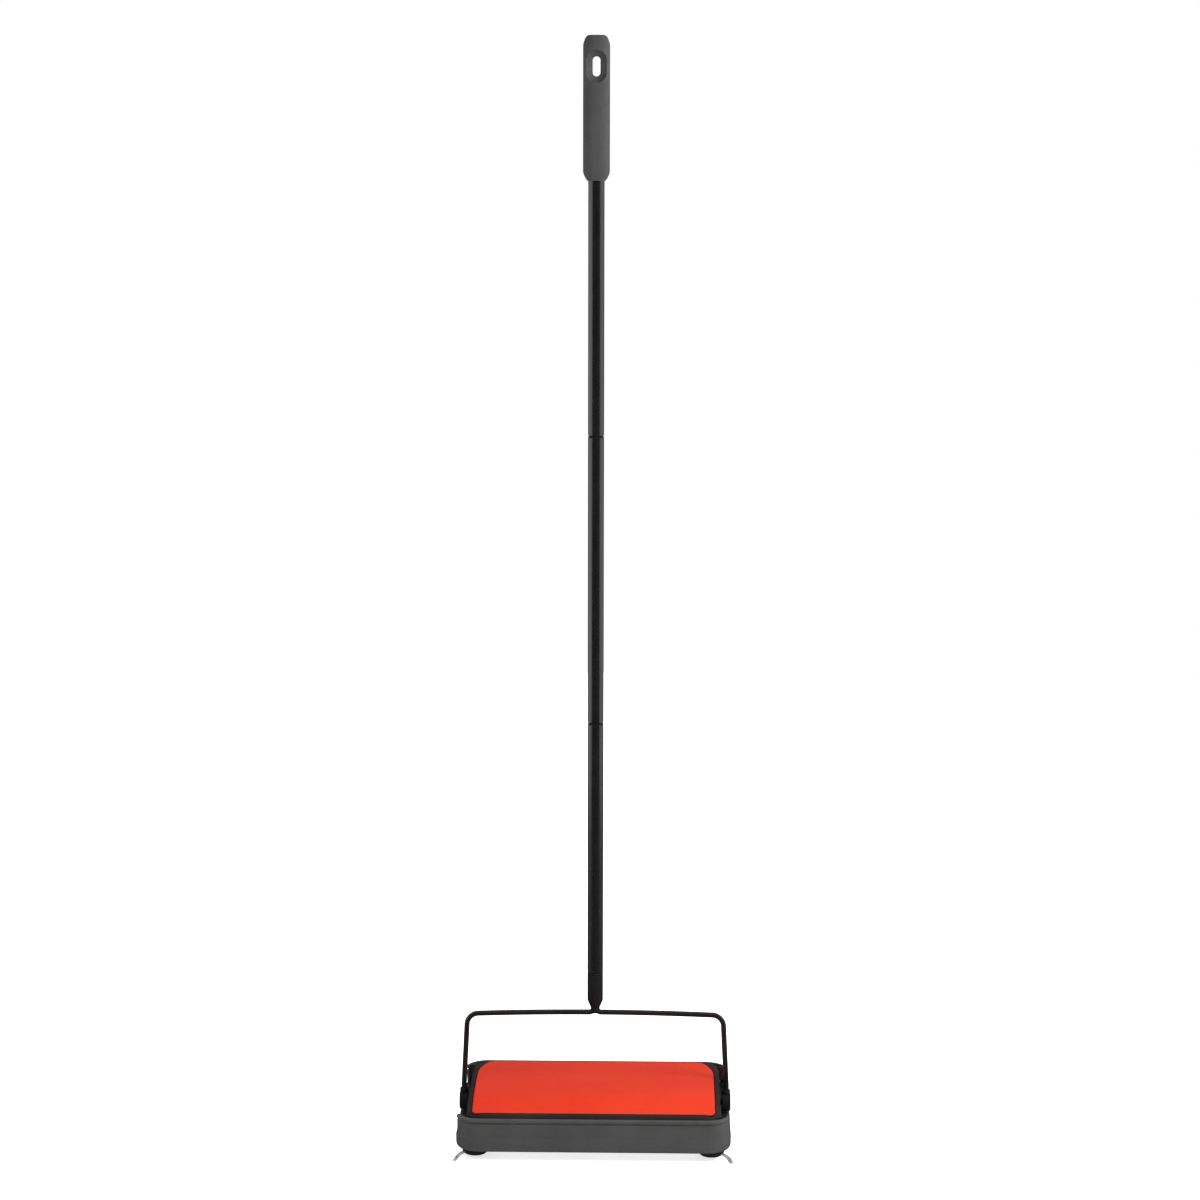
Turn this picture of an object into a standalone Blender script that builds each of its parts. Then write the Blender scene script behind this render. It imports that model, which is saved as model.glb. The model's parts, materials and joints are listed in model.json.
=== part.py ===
"""Carpet sweeper: a wheeled head with a brush roll and two dust pans, and a pole on a wire bail.

Metres, +Z up. The origin is on the floor under the middle of the head. +X is the right side seen from
the front, and the front faces -Y. Every object is one physical piece; run it in Blender to see them all.
"""

import math

import bmesh
import bpy
from mathutils import Matrix, Vector

# ---------------------------------------------------------------- driving dimensions
GAP = 0.0003  # clearance between neighbouring pieces
WALL = 0.0025  # wall of the moulded shells

BASE_X, BASE_Y = 0.1383, 0.095  # half width and half depth of the bumper
BASE_CORNER = 0.024
BASE_LOW, BASE_TOP = 0.010, 0.045
SHELF_TOP = 0.040  # the ledge inside the bumper that the cover stands on
RECESS_X, RECESS_Y, RECESS_LOW = 0.129, 0.078, 0.022  # side recess that the bail swings in

COVER_X, COVER_Y, COVER_CORNER = 0.1278, 0.088, 0.016
PANEL_X, PANEL_FRONT, PANEL_REAR = 0.122, 0.083, 0.056
PANEL_CORNER, PANEL_REAR_CORNER = 0.007, (0.020, 0.042)  # radius, and the half axes at the rear
PANEL_THICK = 0.0022
ROOF_CREST = 0.057
ROOF_FLAT_Y = 0.052  # the roof is level inside this, and slopes down outside it
ROOF_SLOPE = 0.29

PLATE_IN, PLATE_OUT = 0.106, 0.108  # the two end plates of the base, along X
WHEEL_RADIUS, WHEEL_WIDTH = 0.019, 0.012
WHEEL_X, WHEEL_Y = 0.1155, 0.036
TYRE_INNER = 0.0158
AXLE_RADIUS = 0.002

BRUSH_Z = 0.026
BRISTLE_RADIUS = 0.025
CORE_RADIUS, CORE_HALF = 0.011, 0.1045
SPINDLE_RADIUS = 0.0025
PULLEY_RADIUS = math.hypot(WHEEL_Y, BRUSH_Z - WHEEL_RADIUS) - WHEEL_RADIUS - GAP

PAN_HALF = 0.105
PAN_HINGE_Y, PAN_HINGE_Z = 0.078, 0.014
PAN_PIN_RADIUS = 0.002
PAN_THICK = 0.0016

BOSS_X, BOSS_Y = 0.117, 0.0618  # the four screws that hold the cover to the base
FOOT_X, FOOT_Y = 0.1185, 0.077  # the four corner whisk holders

PIVOT_Z = 0.033  # axis of the bail on the head
LEG_X, LEG_TOP_X = 0.1347, 0.1314  # centre line of a bail leg, at the hub and at the top
BAIL_WIRE = 0.00275
BAIL_Z, BAIL_CROWN = 0.1276, 0.0022
BAIL_BEND = 0.012
HUMP_HALF, HUMP_RISE = 0.006, 0.0018  # the wire rises a little where the pole's nose clips over it
HUB_RADIUS, HUB_HALF = 0.0093, 0.0045
PIN_RADIUS = 0.0032

TUBE_RADIUS, TUBE_BORE = 0.008, 0.0071
SOCKET_LOW, NOSE_TOP, NOSE_RADIUS = 0.1272, 0.1337, 0.0047
TUBE_LOW = 0.1705
TUBE_JOINTS = (0.4287, 0.7188)  # upper ends of the lower and the middle tube
TUBE_TOP = 1.0089
JOINT_GAP = 0.0016  # what shows of a coupling between two tubes
GRIP_LOW, GRIP_TOP = 0.9705, 1.1107
GRIP_X, GRIP_Y = 0.0132, 0.0108
SLOT_Z, SLOT_WIDTH, SLOT_HEIGHT = 1.0806, 0.0078, 0.0192

ROUND = 32  # sides of the larger turned pieces
SMALL_ROUND = 20
SIDES = (("left", -1), ("right", 1))
ENDS = (("front", -1), ("rear", 1))


# ---------------------------------------------------------------- scene, materials and helpers
def clear_scene():
    for obj in list(bpy.data.objects):
        bpy.data.objects.remove(obj)


def collection(name):
    made = bpy.data.collections.new(name)
    bpy.context.scene.collection.children.link(made)
    return made


def plastic_or_metal(name, colour, roughness, metallic=0.0):
    made = bpy.data.materials.new(name)
    made.use_nodes = True
    shader = made.node_tree.nodes["Principled BSDF"]
    shader.inputs["Base Color"].default_value = (*colour, 1.0)
    shader.inputs["Roughness"].default_value = roughness
    shader.inputs["Metallic"].default_value = metallic
    made.diffuse_color = (*colour, 1.0)
    return made


clear_scene()
SWEEPER = collection("carpet_sweeper")
CUTTERS = collection("cutters")
CHARCOAL = plastic_or_metal("charcoal_plastic", (0.070, 0.072, 0.072), 0.45)
BLACK = plastic_or_metal("black_plastic", (0.018, 0.018, 0.019), 0.4)
RED = plastic_or_metal("red_plastic", (0.75, 0.045, 0.020), 0.28)
BLACK_ENAMEL = plastic_or_metal("black_enamel", (0.012, 0.012, 0.013), 0.18, 0.3)
GREY_ENAMEL = plastic_or_metal("grey_enamel", (0.060, 0.060, 0.062), 0.35, 0.3)
STEEL = plastic_or_metal("steel", (0.55, 0.55, 0.56), 0.3, 1.0)
RUBBER = plastic_or_metal("rubber", (0.02, 0.02, 0.02), 0.8)
GREY_PLASTIC = plastic_or_metal("grey_plastic", (0.16, 0.16, 0.165), 0.5)
BRISTLE = plastic_or_metal("bristle", (0.05, 0.05, 0.05), 0.6)
PALE_BRISTLE = plastic_or_metal("pale_bristle", (0.55, 0.55, 0.54), 0.5)


def link(name, mesh, material=None):
    """An object in the sweeper with that material, or a hidden cutter if it has none."""
    made = bpy.data.objects.new(name, mesh)
    if material is None:
        CUTTERS.objects.link(made)
        made.hide_render = True
        made.display_type = "WIRE"
    else:
        SWEEPER.objects.link(made)
        mesh.materials.append(material)
    return made


def mesh_from(name, bm, material=None):
    bmesh.ops.recalc_face_normals(bm, faces=bm.faces)
    mesh = bpy.data.meshes.new(name)
    bm.to_mesh(mesh)
    bm.free()
    return link(name, mesh, material)


def combine(target, tool, operation):
    """Adds a Boolean to target. The tool is a hidden cutter."""
    modifier = target.modifiers.new(f"{operation.lower()}_{tool.name}", "BOOLEAN")
    modifier.operation = operation
    modifier.solver = "EXACT"
    modifier.object = tool
    return target


def box(name, low, high, material=None):
    bm = bmesh.new()
    bmesh.ops.create_cube(bm, size=1.0)
    size = Vector(high) - Vector(low)
    bmesh.ops.scale(bm, vec=size, verts=bm.verts)
    bmesh.ops.translate(bm, vec=Vector(low) + size / 2, verts=bm.verts)
    return mesh_from(name, bm, material)


def level_edges(bm, z):
    return [e for e in bm.edges if all(abs(v.co.z - z) < 1e-6 for v in e.verts)]


def rounded_box(name, half, corner, z, material=None, low_round=0.0, top_round=0.0, segments=6):
    """A box on the Z axis with upright corners of that radius, and its rims rounded too."""
    bm = bmesh.new()
    bmesh.ops.create_cube(bm, size=1.0)
    bmesh.ops.scale(bm, vec=(2 * half[0], 2 * half[1], z[1] - z[0]), verts=bm.verts)
    bmesh.ops.translate(bm, vec=(0, 0, (z[0] + z[1]) / 2), verts=bm.verts)
    upright = [e for e in bm.edges if abs(e.verts[0].co.z - e.verts[1].co.z) > 1e-6]
    bmesh.ops.bevel(bm, geom=upright, offset=corner, segments=segments, affect="EDGES", profile=0.5)
    for level, radius in ((z[0], low_round), (z[1], top_round)):
        if radius:
            rim = level_edges(bm, level)
            bmesh.ops.bevel(bm, geom=rim, offset=radius, segments=3, affect="EDGES", profile=0.5)
    return mesh_from(name, bm, material)


def rod(name, radius, start, end, material=None, sides=SMALL_ROUND):
    """A cylinder from one point to another."""
    start, end = Vector(start), Vector(end)
    bm = bmesh.new()
    bmesh.ops.create_cone(
        bm,
        cap_ends=True,
        segments=sides,
        radius1=radius,
        radius2=radius,
        depth=(end - start).length,
    )
    made = mesh_from(name, bm, material)
    made.location = (start + end) / 2
    made.rotation_mode = "QUATERNION"
    made.rotation_quaternion = (end - start).to_track_quat("Z", "Y")
    return made


def turned(name, profile, centre, along_x, material=None, sides=ROUND, closed=True):
    """Turns a profile of (radius, height) about its axis. It runs down the outer side and up the bore."""
    mesh = bpy.data.meshes.new(name)
    count = len(profile)
    edges = [(i, i + 1) for i in range(count - 1)]
    if closed:
        edges.append((count - 1, 0))
    mesh.from_pydata([(radius, 0, height) for radius, height in profile], edges, [])
    made = link(name, mesh, material)
    made.location = centre
    if along_x:
        made.rotation_euler = (0, math.pi / 2, 0)
    screw = made.modifiers.new("turn", "SCREW")
    screw.axis = "Z"
    screw.steps = sides
    screw.render_steps = sides
    screw.use_merge_vertices = True
    screw.merge_threshold = 1e-5
    return made


def upright_block(name, outline, z, material=None):
    """A solid whose section in the XY plane is the outline, between two heights."""
    return loft(name, [[Vector((x, y, height)) for x, y in outline] for height in z], material)


def loft(name, rings, material=None):
    """A closed solid through rings that each have the same number of points."""
    bm = bmesh.new()
    loops = [[bm.verts.new(point) for point in ring] for ring in rings]
    for lower, upper in zip(loops, loops[1:]):
        for i in range(len(lower)):
            after = (i + 1) % len(lower)
            bm.faces.new((lower[i], lower[after], upper[after], upper[i]))
    bm.faces.new(loops[0])
    bm.faces.new(loops[-1])
    return mesh_from(name, bm, material)


def extruded_x(name, outline, half_length, material=None):
    """A solid whose section in the YZ plane is the outline, from -half_length to half_length."""
    bm = bmesh.new()
    face = bm.faces.new([bm.verts.new((-half_length, y, z)) for y, z in outline])
    grown = bmesh.ops.extrude_face_region(bm, geom=[face])
    moved = [g for g in grown["geom"] if isinstance(g, bmesh.types.BMVert)]
    bmesh.ops.translate(bm, vec=(2 * half_length, 0, 0), verts=moved)
    return mesh_from(name, bm, material)


def wire(name, points, radius, material, resolution=4):
    """A round wire along the points, with closed ends."""
    curve = bpy.data.curves.new(name, "CURVE")
    curve.dimensions = "3D"
    curve.bevel_depth = radius
    curve.bevel_resolution = resolution
    curve.use_fill_caps = True
    spline = curve.splines.new("POLY")
    spline.points.add(len(points) - 1)
    for point, place in zip(spline.points, points):
        point.co = (*place, 1.0)
    return link(name, curve, material)


def arc(centre, radius, start_deg, end_deg, count):
    """Points on a circle in a plane, from one angle to another."""
    return [
        (centre[0] + radius * math.cos(a), centre[1] + radius * math.sin(a))
        for i in range(count + 1)
        for a in [math.radians(start_deg + (end_deg - start_deg) * i / count)]
    ]


def pivot(name, place, pieces):
    """An empty on a joint's axis, with the pieces that turn about it as its children."""
    empty = bpy.data.objects.new(name, None)
    empty.empty_display_size = 0.01
    SWEEPER.objects.link(empty)
    empty.location = place
    bpy.context.view_layer.update()
    for piece in pieces:
        piece.parent = empty
        piece.matrix_parent_inverse = empty.matrix_world.inverted()
    return empty


# ---------------------------------------------------------------- base housing
def base_cavity():
    """What is hollow inside the base: a lip at the floor, then the full width, narrower at the recesses."""
    mouth = rounded_box(
        "cut_base_mouth",
        (BASE_X - 0.0065, BASE_Y - 0.0065),
        BASE_CORNER - 0.0065,
        (0.005, 0.013),
    )
    low = rounded_box(
        "cut_base_low", (BASE_X - 0.003, BASE_Y - 0.003), BASE_CORNER - 0.003, (0.0125, 0.0195)
    )
    middle = rounded_box(
        "cut_base_middle", (BASE_X - WALL, BASE_Y - WALL), BASE_CORNER - WALL, (0.019, 0.0375)
    )
    for side, sign in SIDES:
        reach = sorted((sign * (RECESS_X - 0.003), sign * 0.145))
        keep = box(
            f"keep_recess_{side}",
            (reach[0], -RECESS_Y - WALL, 0.015),
            (reach[1], RECESS_Y + WALL, 0.045),
        )
        combine(middle, keep, "DIFFERENCE")
    shelf = rounded_box("cut_shelf", (0.123, 0.082), 0.010, (0.037, 0.041))
    rim = rounded_box(
        "cut_rim", (BASE_X - WALL, BASE_Y - WALL), BASE_CORNER - WALL, (SHELF_TOP, 0.050)
    )
    return mouth, low, middle, shelf, rim


def add_end_plate(base, side, sign):
    """The upright plate between the brush chamber and one pair of wheels."""
    near, far = sorted((sign * PLATE_IN, sign * PLATE_OUT))
    upper = box(f"plate_upper_{side}", (near, -0.0935, 0.0135), (far, 0.0935, 0.0385))
    lower = box(f"plate_lower_{side}", (near, -0.090, 0.0105), (far, 0.090, 0.0150))
    combine(base, upper, "UNION")
    combine(base, lower, "UNION")


def add_corner(base, side, sign, end, way):
    """A screw boss on its rib, and the web that holds a whisk holder's spigot."""
    low_x, high_x = sorted((sign * 0.107, sign * 0.1265))
    rib_y = way * BOSS_Y
    rib = box(f"rib_{side}_{end}", (low_x, rib_y - 0.001, 0.016), (high_x, rib_y + 0.001, 0.030))
    boss = rod(
        f"boss_{side}_{end}", 0.005, (sign * BOSS_X, rib_y, 0.016), (sign * BOSS_X, rib_y, 0.030)
    )
    web_x = sorted((sign * 0.107, sign * 0.1285))
    web_y = sorted((way * 0.068, way * 0.087))
    web = box(f"web_{side}_{end}", (web_x[0], web_y[0], 0.020), (web_x[1], web_y[1], 0.022))
    for tool in (rib, boss, web):
        combine(base, tool, "UNION")
    for name, radius, low, high in (("head", 0.0038, 0.015, 0.024), ("shank", 0.0019, 0.014, 0.031)):
        hole = rod(
            f"hole_{name}_{side}_{end}",
            radius,
            (sign * BOSS_X, rib_y, low),
            (sign * BOSS_X, rib_y, high),
        )
        combine(base, hole, "DIFFERENCE")
    spigot = rod(
        f"hole_spigot_{side}_{end}",
        0.004 + GAP,
        (sign * FOOT_X, way * FOOT_Y, 0.019),
        (sign * FOOT_X, way * FOOT_Y, 0.023),
    )
    combine(base, spigot, "DIFFERENCE")


def cut_shaft_holes(base, side, sign):
    """The holes in one end plate and side wall for the spindle bush, wheel axles, pan pins and bail pin."""
    holes = [("bush", 0.0050 + GAP, 0.0, BRUSH_Z, 0.104, 0.110)]
    holes.append(("bail", PIN_RADIUS + GAP, 0.0, PIVOT_Z, 0.120, 0.135))
    for end, way in ENDS:
        holes.append(
            (f"axle_{end}", AXLE_RADIUS + GAP, way * WHEEL_Y, WHEEL_RADIUS, 0.104, 0.128)
        )
        holes.append(
            (f"pan_{end}", PAN_PIN_RADIUS + GAP, way * PAN_HINGE_Y, PAN_HINGE_Z, 0.104, 0.110)
        )
    for name, radius, y, z, start, end in holes:
        hole = rod(f"hole_{name}_{side}", radius, (sign * start, y, z), (sign * end, y, z))
        combine(base, hole, "DIFFERENCE")


def build_base():
    base = rounded_box(
        "base_housing",
        (BASE_X, BASE_Y),
        BASE_CORNER,
        (BASE_LOW, BASE_TOP),
        CHARCOAL,
        low_round=0.0045,
        top_round=0.0012,
    )
    for side, sign in SIDES:
        reach = sorted((sign * RECESS_X, sign * 0.145))
        recess = box(
            f"cut_recess_{side}",
            (reach[0], -RECESS_Y, RECESS_LOW),
            (reach[1], RECESS_Y, 0.050),
        )
        combine(base, recess, "DIFFERENCE")
    for cutter in base_cavity():
        combine(base, cutter, "DIFFERENCE")
    for side, sign in SIDES:
        add_end_plate(base, side, sign)
        for end, way in ENDS:
            add_corner(base, side, sign, end, way)
    for side, sign in SIDES:
        cut_shaft_holes(base, side, sign)
    return base


# ---------------------------------------------------------------- cover and red panel
def roof_z(y):
    return ROOF_CREST - ROOF_SLOPE * max(0.0, abs(y) - ROOF_FLAT_Y)


def roof(name, drop):
    """A block under the roof line, lowered by drop, wide and long enough to cut or keep the cover."""
    edge = 0.100
    knots = (-edge, -ROOF_FLAT_Y, ROOF_FLAT_Y, edge)
    outline = [(y, roof_z(y) - drop) for y in knots] + [(edge, 0.020), (-edge, 0.020)]
    return extruded_x(name, outline, 0.160)


def panel_outline(grown):
    """The panel from above: tight corners at the front, and long drawn-in corners at the rear."""
    radius = PANEL_CORNER + grown
    long_x, long_y = PANEL_REAR_CORNER[0] + grown, PANEL_REAR_CORNER[1] + grown
    half, front, rear = PANEL_X + grown, PANEL_FRONT + grown, PANEL_REAR + grown
    right = arc((half - radius, -front + radius), radius, -90, 0, 6)
    for k in range(9):
        turn = math.radians(90 * k / 8)
        right.append((half - long_x * (1 - math.cos(turn)), rear - long_y * (1 - math.sin(turn))))
    return right + [(-x, y) for x, y in reversed(right)]


def build_cover():
    cover = rounded_box(
        "cover_frame",
        (COVER_X, COVER_Y),
        COVER_CORNER,
        (SHELF_TOP + GAP, ROOF_CREST),
        BLACK,
        top_round=0.006,
    )
    combine(cover, roof("keep_cover", 0.0), "INTERSECT")
    pocket = upright_block("cut_panel_pocket", panel_outline(0.0004), (0.030, 0.070))
    combine(pocket, roof("keep_under_panel", WALL), "DIFFERENCE")
    inside = rounded_box(
        "cut_cover_inside",
        (COVER_X - WALL, COVER_Y - WALL),
        COVER_CORNER - WALL,
        (0.030, 0.070),
    )
    combine(inside, roof("keep_inside", 2 * WALL), "INTERSECT")
    combine(cover, pocket, "DIFFERENCE")
    combine(cover, inside, "DIFFERENCE")
    for side, sign in SIDES:
        for end, way in ENDS:
            x, y = sign * BOSS_X, way * BOSS_Y
            post = rod(f"post_{side}_{end}", 0.0045, (x, y, 0.030 + GAP), (x, y, 0.0495))
            hole = rod(f"post_hole_{side}_{end}", 0.0019, (x, y, 0.029), (x, y, 0.042))
            combine(cover, post, "UNION")
            combine(cover, hole, "DIFFERENCE")
    return cover


def build_panel():
    panel = upright_block("top_panel", panel_outline(0.0), (0.030, 0.070), RED)
    combine(panel, roof("keep_panel", -GAP), "INTERSECT")
    combine(panel, roof("cut_panel", PANEL_THICK), "DIFFERENCE")
    return panel


# ---------------------------------------------------------------- brush roll
def build_brush():
    """The core on its spindle, a drive pulley at each end, and four helical rows of bristle."""
    core_ends = (0.0028, CORE_RADIUS - 0.001)
    core = turned(
        "brush_core",
        [
            (core_ends[1], CORE_HALF),
            (CORE_RADIUS, CORE_HALF - 0.001),
            (CORE_RADIUS, -CORE_HALF + 0.001),
            (core_ends[1], -CORE_HALF),
            (core_ends[0], -CORE_HALF),
            (core_ends[0], CORE_HALF),
        ],
        (0, 0, BRUSH_Z),
        True,
        GREY_PLASTIC,
        sides=24,
    )
    spindle = rod(
        "brush_spindle", SPINDLE_RADIUS, (-0.1213, 0, BRUSH_Z), (0.1213, 0, BRUSH_Z), STEEL
    )
    pieces = [core, spindle]
    for side, sign in SIDES:
        half = 0.0056
        rim, web, bore = PULLEY_RADIUS, 0.0015, SPINDLE_RADIUS + GAP
        profile = [
            (rim, half),
            (rim, -half),
            (rim - 0.0025, -half),
            (rim - 0.0025, -web),
            (0.006, -web),
            (0.006, -half),
            (bore, -half),
            (bore, half),
            (0.006, half),
            (0.006, web),
            (rim - 0.0025, web),
            (rim - 0.0025, half),
        ]
        centre = (sign * WHEEL_X, 0, BRUSH_Z)
        pieces.append(
            turned(f"drive_pulley_{side}", profile, centre, True, BLACK, sides=24)
        )
    pieces += [bristle_row(row) for row in range(4)]
    pivot("brush_axis", (0, 0, BRUSH_Z), pieces)
    return pieces


def bristle_row(row):
    """One row of bristle, wound half a turn round the core."""
    steps = 26
    inner, outer, half = CORE_RADIUS + GAP, BRISTLE_RADIUS, 0.002
    rings = []
    for i in range(steps + 1):
        share = i / steps
        angle = math.tau * row / 4 + math.pi * share
        out = Vector((0, math.cos(angle), math.sin(angle)))
        side = Vector((0, -math.sin(angle), math.cos(angle)))
        middle = Vector((-0.103 + 0.206 * share, 0, BRUSH_Z))
        rings.append(
            [
                middle + out * radius + side * along
                for radius, along in ((inner, -half), (outer, -half), (outer, half), (inner, half))
            ]
        )
    return loft(f"bristle_row_{row + 1}", rings, BRISTLE)


def build_spindle_bushes():
    """A flanged bush in each end plate, which the spindle turns in."""
    for side, sign in SIDES:
        profile = [
            (0.0050, sign * -0.0018),
            (0.0050, sign * 0.0013),
            (0.0070, sign * 0.0013),
            (0.0070, sign * 0.0022),
            (SPINDLE_RADIUS + GAP, sign * 0.0022),
            (SPINDLE_RADIUS + GAP, sign * -0.0018),
        ]
        if sign > 0:
            profile.reverse()
        centre = (sign * (PLATE_IN + 0.001), 0, BRUSH_Z)
        turned(f"spindle_bush_{side}", profile, centre, True, GREY_PLASTIC, sides=SMALL_ROUND)


# ---------------------------------------------------------------- wheels
def build_wheel(side, sign, end, way):
    centre = (sign * WHEEL_X, way * WHEEL_Y, WHEEL_RADIUS)
    half, web, bore = WHEEL_WIDTH / 2, 0.0015, AXLE_RADIUS + GAP
    rim = TYRE_INNER - GAP
    hub = turned(
        f"wheel_{side}_{end}",
        [
            (rim, half),
            (rim, -half),
            (rim - 0.002, -half),
            (rim - 0.002, -web),
            (0.005, -web),
            (0.005, -half),
            (bore, -half),
            (bore, half),
            (0.005, half),
            (0.005, web),
            (rim - 0.002, web),
            (rim - 0.002, half),
        ],
        centre,
        True,
        GREY_PLASTIC,
        sides=24,
    )
    tyre = turned(
        f"tyre_{side}_{end}",
        [
            (WHEEL_RADIUS - 0.001, half),
            (WHEEL_RADIUS, half - 0.001),
            (WHEEL_RADIUS, -half + 0.001),
            (WHEEL_RADIUS - 0.001, -half),
            (TYRE_INNER, -half),
            (TYRE_INNER, half),
        ],
        centre,
        True,
        RUBBER,
    )
    pivot(f"wheel_axis_{side}_{end}", centre, [hub, tyre])
    rod(
        f"wheel_axle_{side}_{end}",
        AXLE_RADIUS,
        (sign * (PLATE_IN + GAP), centre[1], centre[2]),
        (sign * 0.1275, centre[1], centre[2]),
        STEEL,
        sides=16,
    )


# ---------------------------------------------------------------- dust pans
def lip_arc(radius, low_z, high_z, count):
    """Points (y, z) on a circle round the brush, from one height to another."""
    start, end = (math.degrees(math.asin((z - BRUSH_Z) / radius)) for z in (low_z, high_z))
    return arc((0, BRUSH_Z), radius, start, end, count)


def pan_outlines():
    """The pan's outside and its hollow, as (y, z) outlines of the rear pan."""
    lip = BRISTLE_RADIUS + 0.0025
    floor, top, back = 0.008, 0.030, 0.086
    corner = 0.008
    outside = lip_arc(lip, 0.019, 0.009, 4)
    outside += [(0.0225, floor)]
    outside += arc((back - corner, floor + corner), corner, -90, 0, 5)
    outside += [(back, top), (0.033, top)]
    inner_floor = floor + PAN_THICK
    hollow = lip_arc(lip + PAN_THICK, inner_floor, 0.0193, 4)
    hollow += [(0.025, 0.022), (0.025, 0.040), (back - PAN_THICK, 0.040)]
    hollow += arc((back - corner, floor + corner), corner - PAN_THICK, 0, -90, 5)
    return outside, hollow


def build_pan(end, way):
    """A dust pan: a tray with a lip that follows the brush, on two pins at its outer edge."""
    outside, hollow = ([(way * y, z) for y, z in outline] for outline in pan_outlines())
    pan = extruded_x(f"{end}_dust_pan", outside, PAN_HALF, GREY_PLASTIC)
    inside = extruded_x(f"cut_{end}_pan", hollow, PAN_HALF - PAN_THICK)
    combine(pan, inside, "DIFFERENCE")
    for side, sign in SIDES:
        y = way * PAN_HINGE_Y
        pin = rod(
            f"pan_pin_{end}_{side}",
            PAN_PIN_RADIUS,
            (sign * (PAN_HALF - 0.0012), y, PAN_HINGE_Z),
            (sign * 0.1118, y, PAN_HINGE_Z),
            sides=16,
        )
        combine(pan, pin, "UNION")
    tab_y = sorted((way * 0.030, way * 0.033))
    tab = box(f"pan_tab_{end}", (-0.015, tab_y[0], 0.0045), (0.015, tab_y[1], 0.0088))
    combine(pan, tab, "UNION")
    pivot(f"{end}_pan_hinge", (0, way * PAN_HINGE_Y, PAN_HINGE_Z), [pan])


def build_pan_spring(end, way, sign):
    """The torsion spring on one pan pin that closes the pan, with a leg up to the rib."""
    turns, per_turn, radius, thick = 3, 10, 0.0034, 0.0004
    start_x, pitch = 0.1089, 0.0009
    points = []
    for i in range(turns * per_turn + 1):
        angle = math.tau * i / per_turn
        points.append(
            Vector(
                (
                    sign * (start_x + pitch * i / per_turn),
                    way * (PAN_HINGE_Y - radius * math.cos(angle)),
                    PAN_HINGE_Z + radius * math.sin(angle),
                )
            )
        )
    points.append(points[-1] + Vector((0, way * -0.0020, 0.0040)))
    wire(f"{end}_pan_spring", points, thick, STEEL, resolution=1)


# ---------------------------------------------------------------- corner whisks
def build_whisk(side, sign, end, way):
    """A corner foot plugged into the base, and the tuft that reaches out to the floor from it."""
    profile = [
        (0.0, 0.0240),
        (0.0040, 0.0240),
        (0.0040, 0.0197),
        (0.0060, 0.0197),
        (0.0060, 0.0097),
        (0.0130, 0.0097),
        (0.0130, 0.0065),
        (0.0105, 0.0045),
        (0.0, 0.0045),
    ]
    turned(
        f"whisk_foot_{side}_{end}",
        profile,
        (sign * FOOT_X, way * FOOT_Y, 0),
        False,
        BLACK,
        sides=24,
        closed=False,
    )
    corner = Vector((BASE_X - BASE_CORNER, BASE_Y - BASE_CORNER, 0))
    out = Vector((1, 1, 0)).normalized()
    across = Vector((-1, 1, 0)).normalized()
    # distance out from the corner's centre, height, half width, half thickness
    route = (
        (0.0219, 0.0073, 0.0016, 0.0016),
        (0.0250, 0.0075, 0.0018, 0.0014),
        (0.0290, 0.0058, 0.0021, 0.0012),
        (0.0330, 0.0030, 0.0024, 0.0011),
        (0.0353, 0.0012, 0.0026, 0.0009),
    )
    rings = []
    for reach, height, wide, thick in route:
        ring = []
        for k in range(10):
            angle = math.tau * k / 10
            place = corner + out * reach + across * (wide * math.cos(angle))
            place.z = height + thick * math.sin(angle)
            ring.append(Vector((sign * place.x, way * place.y, place.z)))
        rings.append(ring)
    loft(f"whisk_{side}_{end}", rings, PALE_BRISTLE)


# ---------------------------------------------------------------- screws
def build_screw(side, sign, end, way):
    """A pan-head screw up through a base boss into a cover post."""
    profile = [
        (0.0, 0.0400),
        (0.0016, 0.0385),
        (0.0016, 0.0237),
        (0.0033, 0.0237),
        (0.0033, 0.0222),
        (0.0022, 0.0214),
        (0.0, 0.0214),
    ]
    turned(
        f"cover_screw_{side}_{end}",
        profile,
        (sign * BOSS_X, way * BOSS_Y, 0),
        False,
        STEEL,
        sides=12,
        closed=False,
    )


# ---------------------------------------------------------------- bail and its hubs
def bail_half():
    """The right half of the bail's centre line, from its foot up, round the corner and to the middle."""
    bar_end = BAIL_Z - BAIL_CROWN
    leg = [(LEG_X, 0.0287), (LEG_X, 0.050)]
    corner = arc((LEG_TOP_X - BAIL_BEND, bar_end - BAIL_BEND), BAIL_BEND, 0, 90, 8)
    span = LEG_TOP_X - BAIL_BEND
    bar = [(x, BAIL_Z - BAIL_CROWN * (x / span) ** 2) for x in (span * k / 5 for k in (4, 3, 2, 1))]
    hump = []
    for k in range(6):
        x = HUMP_HALF * (1 - k / 6)
        hump.append((x, BAIL_Z + HUMP_RISE * (1 + math.cos(math.pi * x / HUMP_HALF)) / 2))
    return leg + corner + bar + hump


def bail_route():
    half = bail_half()
    middle = [(0.0, BAIL_Z + HUMP_RISE)]
    whole = half + middle + [(-x, z) for x, z in reversed(half)]
    return [Vector((x, 0, z)) for x, z in whole]


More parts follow.
